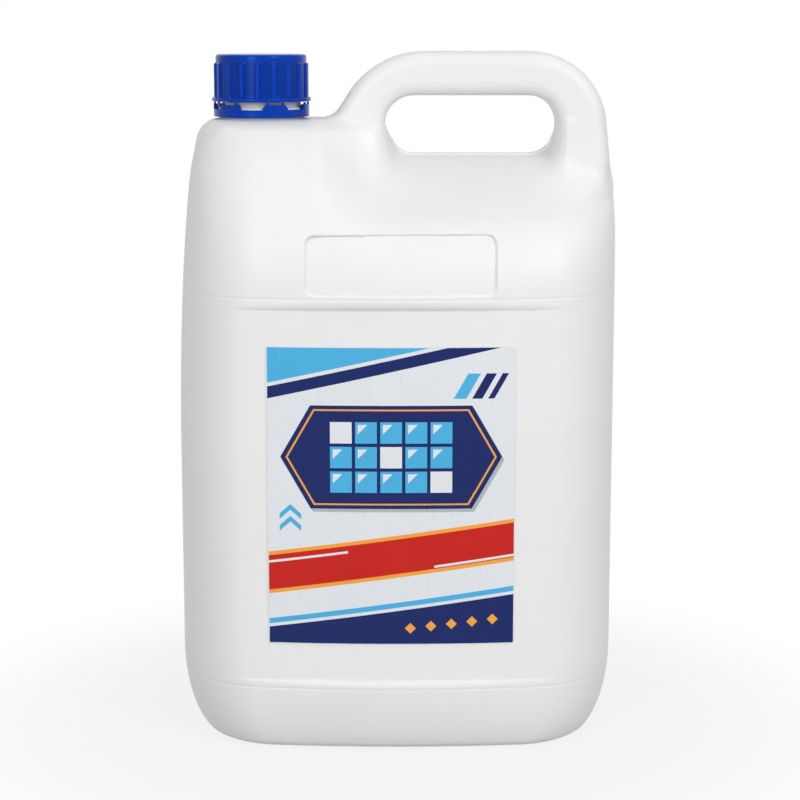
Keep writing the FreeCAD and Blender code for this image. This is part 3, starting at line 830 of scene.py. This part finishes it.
def front_print():
    """The front label's fields: piece name, colour, level and shapes."""
    tiles = [(-20.8 + 10.4 * column, 6.6 + 10.4 * row) for row in range(3) for column in range(5)]
    white = [tiles[i] for i in (4, 7, 10)]
    blue = [tile for tile in tiles if tile not in white]
    return [
        ("print_top_band", "sky", 1, [[(-EDGE, RIM), (-EDGE, 48.0), (16.0, RIM)]]),
        ("print_top_band_edge", "navy", 1, [[(-EDGE, 46.4), (-EDGE, 41.4), (45.2, RIM),
                                             (23.4, RIM)]]),
        ("print_bars", "navy", 1, [slanted(33.4, 41.6, 4.2, 10.5, 6.0),
                                   slanted(40.0, 41.6, 2.6, 10.5, 6.0)]),
        ("print_bars_light", "sky", 1, [slanted(25.8, 41.6, 5.2, 10.5, 6.0)]),
        ("print_plaque_shade", "silver", 1, [hexagon(1.0, 15.6, 92.0, 43.5, 12.5)]),
        ("print_plaque", "navy", 2, [hexagon(0.0, 17.0, 92.0, 43.5, 12.5)]),
        ("print_plaque_line", "gold", 3, [hexagon(0.0, 17.0, 87.6, 40.4, 11.6)]),
        ("print_plaque_field", "navy", 4, [hexagon(0.0, 17.0, 85.8, 39.0, 11.2)]),
        ("print_tiles", "sky", 5, [box_shape(u, v, 9.0, 9.0) for u, v in blue]),
        ("print_tiles_white", "film", 5, [box_shape(u, v, 9.0, 9.0) for u, v in white]),
        ("print_tile_glints", "film", 6, [[(u - 3.4, v + 3.4), (u - 3.4, v - 0.6),
                                           (u + 0.6, v + 3.4)] for u, v in blue]),
        ("print_ribbon_edge", "gold", 1, [streak(-41.6, -27.4, 18.0)]),
        ("print_ribbon", "red", 2, [streak(-40.0, -25.8, 14.8)]),
        ("print_ribbon_light", "film", 3, [streak(-28.4, -23.8, 1.0, end_u=-18.0),
                                           streak(-30.0, -25.4, 1.0, u=18.0)]),
        ("print_foot", "navy", 1, [[(-EDGE, -RIM), (EDGE, -RIM), (EDGE, -41.8),
                                    (-EDGE, -56.0)]]),
        ("print_foot_line", "sky", 1, [streak(-54.6, -40.4, 2.2)]),
        ("print_foot_diamonds", "gold", 2, [diamond(8.0 + 8.6 * step, -56.0 + 0.9 * step, 2.3)
                                            for step in range(5)]),
        ("print_side_arrows", "sky", 1, [chevron(-42.0, -14.5 + 5.0 * step, 9.0, 4.0, 2.4)
                                         for step in range(2)]),
    ]


def back_print():
    """The back label's fields."""
    rules = [box_shape(0.0, 22.0 - 6.0 * step, 86.0 - 9.0 * (step % 3), 0.9) for step in range(7)]
    boxes = [(-29.0, -33.0), (0.0, -33.0), (29.0, -33.0)]
    return [
        ("back_print_head", "navy", 1, [[(EDGE, RIM), (EDGE, 46.0), (-EDGE, 40.0),
                                         (-EDGE, RIM)]]),
        ("back_print_head_line", "sky", 1, [streak(35.6, 41.6, 3.0)]),
        ("back_print_squares", "gold", 2, [diamond(-36.0 + 9.0 * step, 51.0, 2.6)
                                           for step in range(4)]),
        ("back_print_rules", "silver", 1, rules),
        ("back_print_boxes", "sky", 1, [box_shape(u, v, 25.0, 16.0) for u, v in boxes]),
        ("back_print_boxes_field", "film", 2, [box_shape(u, v, 22.6, 13.6) for u, v in boxes]),
        ("back_print_foot", "navy", 1, [box_shape(0.0, -56.4, 2.0 * EDGE, 12.8)]),
        ("back_print_foot_line", "red", 1, [box_shape(0.0, -47.6, 2.0 * EDGE, 2.6)]),
    ]


# Finishes

def add(tree, kind, inputs=None, **settings):
    """A node with its settings, and its inputs set to values or linked to sockets."""
    node = tree.nodes.new(kind)
    for key, value in settings.items():
        setattr(node, key, value)
    for key, value in (inputs or {}).items():
        if isinstance(value, bpy.types.NodeSocket):
            tree.links.new(value, node.inputs[key])
        else:
            node.inputs[key].default_value = value
    return node


def surface_variation():
    """The group that every moulded or printed finish uses: cloudy tone, fine grain, flow marks."""
    name = "surface_variation"
    if name in bpy.data.node_groups:
        return bpy.data.node_groups[name]
    group = bpy.data.node_groups.new(name, "ShaderNodeTree")
    for label, value in (("Cloud scale", 18.0), ("Grain scale", 900.0), ("Flow scale", 60.0)):
        socket = group.interface.new_socket(label, in_out="INPUT", socket_type="NodeSocketFloat")
        socket.default_value = value
    for label in ("Cloud", "Grain", "Flow"):
        group.interface.new_socket(label, in_out="OUTPUT", socket_type="NodeSocketFloat")
    start = add(group, "NodeGroupInput")
    place = add(group, "ShaderNodeTexCoord").outputs["Object"]
    cloud = add(group, "ShaderNodeTexNoise", {"Vector": place, "Detail": 3.0, "Roughness": 0.55,
                                              "Scale": start.outputs["Cloud scale"]})
    grain = add(group, "ShaderNodeTexNoise", {"Vector": place, "Detail": 2.0, "Roughness": 0.6,
                                              "Scale": start.outputs["Grain scale"]})
    drawn = add(group, "ShaderNodeMapping", {"Vector": place, "Scale": (1.0, 1.0, 0.12)})
    flow = add(group, "ShaderNodeTexNoise", {"Vector": drawn.outputs[0], "Detail": 4.0,
                                             "Roughness": 0.5, "Distortion": 0.4,
                                             "Scale": start.outputs["Flow scale"]})
    end = add(group, "NodeGroupOutput")
    group.links.new(cloud.outputs["Fac"], end.inputs["Cloud"])
    group.links.new(grain.outputs["Fac"], end.inputs["Grain"])
    group.links.new(flow.outputs["Fac"], end.inputs["Flow"])
    return group


def finish(name, base, tone, rough, scales, bump, depth, flow_share=0.4, fixed=None):
    """A procedural material: cloudy colour, uneven gloss and a fine bump.

    tone is the share by which the colour varies, rough its two roughnesses, scales those of
    clouds, grain and flow marks, depth the bump's in millimetres, and fixed holds plain inputs."""
    material = bpy.data.materials.new(name)
    material.use_nodes = True
    tree = material.node_tree
    shader = tree.nodes["Principled BSDF"]
    for key, value in (fixed or {}).items():
        shader.inputs[key].default_value = value
    marks = add(tree, "ShaderNodeGroup", node_tree=surface_variation())
    for key, value in zip(("Cloud scale", "Grain scale", "Flow scale"), scales):
        marks.inputs[key].default_value = value
    spread = add(tree, "ShaderNodeMapRange", {"Value": marks.outputs["Cloud"], "From Min": 0.3,
                                              "From Max": 0.7})
    colours = add(tree, "ShaderNodeMix", {"Factor": spread.outputs[0]}, data_type="RGBA")
    colours.inputs["A"].default_value = [c * (1.0 - tone) for c in base] + [1.0]
    colours.inputs["B"].default_value = [min(1.0, c * (1.0 + tone)) for c in base] + [1.0]
    tree.links.new(colours.outputs["Result"], shader.inputs["Base Color"])
    gloss = add(tree, "ShaderNodeMapRange", {"Value": marks.outputs["Flow"], "From Min": 0.3,
                                             "From Max": 0.7, "To Min": rough[0],
                                             "To Max": rough[1]})
    tree.links.new(gloss.outputs[0], shader.inputs["Roughness"])
    height = add(tree, "ShaderNodeMix", {"Factor": flow_share, "A": marks.outputs["Grain"],
                                         "B": marks.outputs["Flow"]}, data_type="FLOAT")
    relief = add(tree, "ShaderNodeBump", {"Strength": bump, "Distance": depth * MM,
                                          "Height": height.outputs["Result"]})
    tree.links.new(relief.outputs["Normal"], shader.inputs["Normal"])
    return material


def weave(material):
    """Lays a faint slanting weave of lines over a film's colour."""
    tree = material.node_tree
    shader = tree.nodes["Principled BSDF"]
    place = add(tree, "ShaderNodeTexCoord").outputs["Object"]
    sloping = add(tree, "ShaderNodeMapping", {"Vector": place,
                                              "Rotation": (0.0, math.radians(38.0), 0.0)})
    lines = add(tree, "ShaderNodeTexWave", {"Vector": sloping.outputs[0], "Scale": 160.0,
                                            "Distortion": 0.0}, wave_type="BANDS",
                bands_direction="X")
    plain = shader.inputs["Base Color"].links[0].from_socket
    darker = add(tree, "ShaderNodeMix", {"Factor": lines.outputs["Fac"], "A": plain},
                 data_type="RGBA", blend_type="MULTIPLY")
    darker.inputs["B"].default_value = (0.955, 0.965, 0.975, 1.0)
    tree.links.new(darker.outputs["Result"], shader.inputs["Base Color"])


def paint_rib_light(material):
    """Paints light and shade into a plastic's colour: paler on the raised ribs as a painted
    highlight, deeper in the fields between them as painted shade.
    """
    tree = material.node_tree
    shader = tree.nodes["Principled BSDF"]
    rib = add(tree, "ShaderNodeAttribute", attribute_name="rib").outputs["Fac"]
    # Painted light: the rib mask scales the colour up on the ribs (painted highlight) and down in
    # the fields (painted shade).
    shade = add(tree, "ShaderNodeMapRange", {"Value": rib, "To Min": 0.78, "To Max": 1.16})
    plain = shader.inputs["Base Color"].links[0].from_socket
    rib_lit_colour = add(tree, "ShaderNodeVectorMath", {0: plain, "Scale": shade.outputs[0]},
                 operation="SCALE")
    tree.links.new(rib_lit_colour.outputs[0], shader.inputs["Base Color"])


BLUE_PLASTIC = {"tone": 0.05, "rough": (0.22, 0.32), "bump": 0.1, "depth": 0.04,
                "scales": (60.0, 1500.0, 160.0), "flow_share": 0.3,
                "fixed": {"Specular Tint": (0.2, 0.4, 1.0, 1.0)}}
INK = {"tone": 0.03, "rough": (0.2, 0.3), "bump": 0.08, "depth": 0.02,
       "scales": (40.0, 1800.0, 140.0), "fixed": {"Specular IOR Level": 0.22}}
LOOKS = {
    "shell": {"tone": 0.012, "rough": (0.36, 0.46), "bump": 0.16, "depth": 0.06,
              "scales": (14.0, 700.0, 34.0), "flow_share": 0.55,
              "fixed": {"Specular IOR Level": 0.3, "Subsurface Weight": 0.12,
                        "Subsurface Radius": (1.0, 0.9, 0.8), "Subsurface Scale": 0.002}},
    "cap": BLUE_PLASTIC,
    "band": BLUE_PLASTIC,
    "liner": {"tone": 0.04, "rough": (0.7, 0.85), "bump": 0.5, "depth": 0.2,
              "scales": (80.0, 2200.0, 500.0), "flow_share": 0.1},
    "film": {"tone": 0.012, "rough": (0.24, 0.34), "bump": 0.12, "depth": 0.03,
             "scales": (30.0, 1400.0, 120.0),
             "fixed": {"Coat Weight": 0.3, "Coat Roughness": 0.12}},
}
# The cap's colour carries painted highlights on its ribs and painted shade between them.
EXTRAS = {"cap": paint_rib_light, "film": weave}


def material_for(key):
    """The material of a finish or an ink, built the first time it is asked for."""
    name = key + "_finish"
    if name in bpy.data.materials:
        return bpy.data.materials[name]
    base = getattr(bpy.context.scene.bottle_finishes, "cap" if key == "band" else key)
    material = finish(name, base, **LOOKS.get(key, INK))
    if key in EXTRAS:
        EXTRAS[key](material)
    return material


def dress(node, key):
    """Gives a node of the frame a material, and leaves its shape as it is."""
    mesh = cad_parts[node].data
    mesh.materials.clear()
    mesh.materials.append(material_for(key))


# Operators

class BOTTLE_OT_body(bpy.types.Operator):
    """Moulds the hollow body with its handle, label panels and plain plate"""
    bl_idname = "bottle.body"
    bl_label = "Bottle body"

    def execute(self, context):
        s = context.scene.bottle_sizes
        axis = context.scene.neck_sizes.axis
        fine = 0.55 * MM
        marks = (
            [(place, 1.2 * MM, fine) for place in (s.plate_left, s.plate_right)],
            [(0.0, 0.9 * MM, 0.36 * MM)],
            [(place, 1.2 * MM, fine) for place in (s.plate_bottom, s.plate_top)]
            + [(place, 3.5 * MM, 0.8 * MM) for place in (s.panel_bottom, s.panel_top)]
            + [(place, 0.6 * MM, 0.4 * MM) for place in mould_lines(s)]
            + [(s.shoulder, 3.0 * MM, 0.9 * MM)])
        outside = skin("bottle_body", Form(s), s, axis, NECK_HOLE, False, marks)
        inside = skin("bottle_inside", Form(s, s.wall), s, axis,
                      context.scene.neck_sizes.bore, True, ([], [], []))
        for piece in (outside, inside):
            piece.data.materials.append(material_for("shell"))
            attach(piece, "bottle")
            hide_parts("bottle")
        return {"FINISHED"}


class BOTTLE_OT_neck(bpy.types.Operator):
    """Turns the neck with its collar, bead, thread and lip"""
    bl_idname = "bottle.neck"
    bl_label = "Neck"

    def execute(self, context):
        neck = context.scene.neck_sizes
        s = context.scene.bottle_sizes
        profile = neck_profile(neck, s.wall)

        def shift(angle, i):
            radius, height = profile[i]
            if abs(radius - neck.radius) > 1e-6 or height < 7.0 * MM:
                return 0.0
            return neck.thread * thread_rise(neck, angle, height, neck.thread_start)
        piece = turned("neck", profile, neck.axis, s.shoulder, 180, shift)
        piece.data.materials.append(material_for("shell"))
        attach(piece, "bottle")
        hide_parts("bottle")
        return {"FINISHED"}


PLAIN_RIB_SHADE = 0.6    # the "rib" value of the cap's plain parts, a painted shade between a field's and a rib's


class BOTTLE_OT_cap(bpy.types.Operator):
    """Turns the screw cap with its ribs, flange and inner thread"""
    bl_idname = "bottle.cap"
    bl_label = "Cap"

    def execute(self, context):
        cap = context.scene.cap_sizes
        neck = context.scene.neck_sizes
        rows, outer = cap_profile(cap)
        shift = cap_shift(cap, neck, rows, outer)
        base = context.scene.bottle_sizes.shoulder
        piece = turned("screw_cap", rows, neck.axis, base, 36 * cap.ribs, shift, ends=True)
        place = np.array([v.co for v in piece.data.vertices])
        out = np.hypot(place[:, 0] - neck.axis, place[:, 1])
        high = place[:, 2] - base
        foot = cap.foot + cap.flange_height + 0.5 * MM
        plain = (high > cap.top - cap.rib_top_gap) | (high < foot)
        raised = np.clip((out - cap.skirt) / cap.rib, 0.0, 1.0)
        # The "rib" value sets the cap's painted light: a painted highlight on the raised ribs and
        # painted shade in the fields between them.
        rib = piece.data.attributes.new("rib", "FLOAT", "POINT")
        rib.data.foreach_set("value", np.where(plain, PLAIN_RIB_SHADE, raised))
        piece.data.materials.append(material_for("cap"))
        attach(piece, "cap")
        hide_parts("cap")
        return {"FINISHED"}


class BOTTLE_OT_seals(bpy.types.Operator):
    """Finishes the tamper band and the sealing disc"""
    bl_idname = "bottle.seals"
    bl_label = "Band and liner"

    def execute(self, context):
        dress("tamper_band", "band")
        dress("cap_liner", "liner")
        return {"FINISHED"}


class BOTTLE_OT_labels(bpy.types.Operator):
    """Finishes both labels and prints their fields"""
    bl_idname = "bottle.labels"
    bl_label = "Labels"

    def execute(self, context):
        dress("front_label", "film")
        dress("back_label", "film")
        for side, fields in ((-1.0, front_print()), (1.0, back_print())):
            for name, ink, level, shapes in fields:
                printed(name, shapes, level, context, side, material_for(ink))
        return {"FINISHED"}


LAMPS = (
    ("key_light", (1.05, -1.35, 1.15), 0.45, 0.9, 14.2, (1.0, 1.0, 0.995)),
    ("strip_light", (-0.62, -1.5, 0.75), 0.14, 0.9, 8.3, (0.995, 1.0, 1.0)),
    ("top_light", (0.25, 0.1, 1.5), 0.9, 0.9, 0.6, (1.0, 1.0, 1.0)),
)
ROOM = 0.73


def softbox(name, place, target, width, height, watts, tint):
    """A rectangular studio lamp that looks at a target."""
    lamp = bpy.data.lights.new(name, "AREA")
    lamp.shape = "RECTANGLE"
    lamp.size = width
    lamp.size_y = height
    lamp.energy = watts
    lamp.color = tint
    thing = bpy.data.objects.new(name, lamp)
    thing.location = place
    aim = Vector(target) - Vector(place)
    thing.rotation_euler = aim.to_track_quat("-Z", "Y").to_euler()
    bpy.context.scene.collection.objects.link(thing)


def math_node(tree, operation, a, b=0.0):
    """One step of arithmetic in a node tree, as its output."""
    return add(tree, "ShaderNodeMath", {0: a, 1: b}, operation=operation).outputs[0]


def seen_rays(tree, behind=1.0):
    """1 for rays of the camera and through clear things, and for reflections of the backdrop."""
    path = add(tree, "ShaderNodeLightPath")
    glossy = math_node(tree, "MULTIPLY", path.outputs["Is Glossy Ray"], behind)
    first = math_node(tree, "MAXIMUM", path.outputs["Is Camera Ray"], glossy)
    return math_node(tree, "MAXIMUM", first, path.outputs["Is Transmission Ray"])


def studio_world():
    """A room that lights softly from the front, with a white backdrop behind the bottle."""
    world = bpy.data.worlds.new("studio")
    world.use_nodes = True
    tree = world.node_tree
    tree.nodes.clear()
    place = add(tree, "ShaderNodeTexCoord").outputs["Generated"]
    split = add(tree, "ShaderNodeSeparateXYZ", {0: place})
    behind = add(tree, "ShaderNodeMapRange", {"Value": split.outputs["Y"], "From Min": 0.3,
                                              "From Max": 0.8})
    room = add(tree, "ShaderNodeMapRange", {"Value": split.outputs["Y"], "From Min": -0.1,
                                            "From Max": 0.5, "To Min": ROOM,
                                            "To Max": 0.45 * ROOM})
    light = add(tree, "ShaderNodeBackground", {"Strength": room.outputs[0]})
    seen = add(tree, "ShaderNodeBackground", {"Strength": 1.0, "Color": (1.0, 1.0, 1.0, 1.0)})
    blend = add(tree, "ShaderNodeMixShader", {0: seen_rays(tree, behind.outputs[0]),
                                              1: light.outputs[0], 2: seen.outputs[0]})
    end = add(tree, "ShaderNodeOutputWorld")
    tree.links.new(blend.outputs[0], end.inputs["Surface"])
    bpy.context.scene.world = world


def floor_finish():
    """A pale floor that keeps a soft shadow near the bottle and turns white further out."""
    material = bpy.data.materials.new("studio_floor")
    material.use_nodes = True
    tree = material.node_tree
    tree.nodes.clear()
    place = add(tree, "ShaderNodeTexCoord").outputs["Object"]
    away = add(tree, "ShaderNodeVectorMath", {0: place}, operation="LENGTH")
    fade = add(tree, "ShaderNodeMapRange", {"Value": away.outputs["Value"], "From Min": 0.11,
                                            "From Max": 0.24, "To Min": 0.84, "To Max": 1.0},
               interpolation_type="SMOOTHSTEP")
    speck = add(tree, "ShaderNodeTexNoise", {"Vector": place, "Scale": 9.0, "Detail": 2.0})
    tone = add(tree, "ShaderNodeMix", {"Factor": speck.outputs["Fac"]}, data_type="RGBA")
    tone.inputs["A"].default_value = (0.44, 0.445, 0.45, 1.0)
    tone.inputs["B"].default_value = (0.47, 0.47, 0.47, 1.0)
    paper = add(tree, "ShaderNodeBsdfPrincipled", {"Base Color": tone.outputs["Result"],
                                                   "Roughness": 0.7})
    white = add(tree, "ShaderNodeEmission", {"Strength": 1.0})
    share = math_node(tree, "MULTIPLY", fade.outputs[0], seen_rays(tree))
    blend = add(tree, "ShaderNodeMixShader", {0: share, 1: paper.outputs[0],
                                              2: white.outputs[0]})
    end = add(tree, "ShaderNodeOutputMaterial")
    tree.links.new(blend.outputs[0], end.inputs["Surface"])
    return material


class BOTTLE_OT_stage(bpy.types.Operator):
    """Sets the floor, lamps, room light and camera"""
    bl_idname = "bottle.stage"
    bl_label = "Stage"

    def execute(self, context):
        stage = context.scene.bottle_stage
        half = 4.0
        points = [(-half, -half, 0.0), (half, -half, 0.0), (half, half, 0.0), (-half, half, 0.0)]
        floor = mesh_object("floor", points, [(0, 1, 2, 3)])
        floor.data.materials.append(floor_finish())
        aim = (0.0, 0.0, 0.15)
        for name, place, width, height, watts, tint in LAMPS:
            softbox(name, place, aim, width, height, watts, tint)
        studio_world()
        lens = bpy.data.cameras.new("camera")
        lens.lens = stage.lens
        lens.sensor_width = 36.0
        camera = bpy.data.objects.new("camera", lens)
        camera.location = (stage.camera_x, -stage.distance, stage.camera_height)
        camera.rotation_euler = (math.pi / 2.0 - stage.tilt, 0.0, 0.0)
        context.scene.collection.objects.link(camera)
        context.scene.camera = camera
        context.scene.view_settings.view_transform = "Standard"
        return {"FINISHED"}


OPERATORS = (BOTTLE_OT_body, BOTTLE_OT_neck, BOTTLE_OT_cap, BOTTLE_OT_seals, BOTTLE_OT_labels,
             BOTTLE_OT_stage)


class BOTTLE_PT_panel(bpy.types.Panel):
    """Lists the bottle's pieces, with their sizes and colours"""
    bl_idname = "BOTTLE_PT_panel"
    bl_label = "Bottle"
    bl_space_type = "VIEW_3D"
    bl_region_type = "UI"
    bl_category = "Bottle"

    def draw(self, context):
        for operator in OPERATORS:
            self.layout.operator(operator.bl_idname)
        for name, group in GROUPS.items():
            box = self.layout.box()
            for key in group.__annotations__:
                box.prop(getattr(context.scene, name), key)


def register():
    """Adds the settings, operators and panel."""
    for name, group in GROUPS.items():
        bpy.utils.register_class(group)
        setattr(bpy.types.Scene, name, bpy.props.PointerProperty(type=group))
    for thing in OPERATORS + (BOTTLE_PT_panel,):
        bpy.utils.register_class(thing)


def unregister():
    """Takes them away again."""
    for thing in (BOTTLE_PT_panel,) + OPERATORS[::-1]:
        bpy.utils.unregister_class(thing)
    for name, group in GROUPS.items():
        delattr(bpy.types.Scene, name)
        bpy.utils.unregister_class(group)


def main():
    """Builds the bottle and its stage."""
    register()
    bpy.ops.bottle.body()
    bpy.ops.bottle.neck()
    bpy.ops.bottle.cap()
    bpy.ops.bottle.seals()
    bpy.ops.bottle.labels()
    bpy.ops.bottle.stage()


if __name__ == "__main__":
    main()
